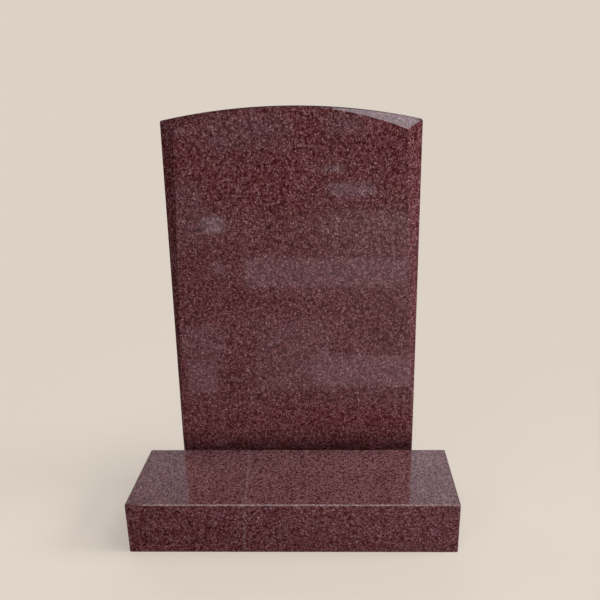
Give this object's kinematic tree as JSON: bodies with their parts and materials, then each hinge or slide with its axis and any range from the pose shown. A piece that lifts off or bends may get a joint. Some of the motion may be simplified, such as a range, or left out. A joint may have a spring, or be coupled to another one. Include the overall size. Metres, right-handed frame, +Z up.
{
  "type": "granite headstone",
  "caption": "Upright headstone tablet with a cambered top and tapered splays, standing in the rear check of a low rectangular base.",
  "frame": {"origin": "middle of the base's underside, on the ground", "axes": "+Z up, -Y towards the front of the stone, +X to the right of someone who reads its face"},
  "size_m": [0.9, 0.395, 1.1499],
  "materials": {
    "granite": "polished dark red granite, fine grained",
    "mortar": "cement bed, matt",
    "sealant": "dark joint sealant, satin",
    "dowel_steel": "stainless steel bar"
  },
  "bodies": {
    "root": {"base": "granite", "tablet": "granite", "mortar_bed": "mortar", "pointing": "sealant", "dowel_left": "dowel_steel", "dowel_right": "dowel_steel"}
  },
  "joints": []
}
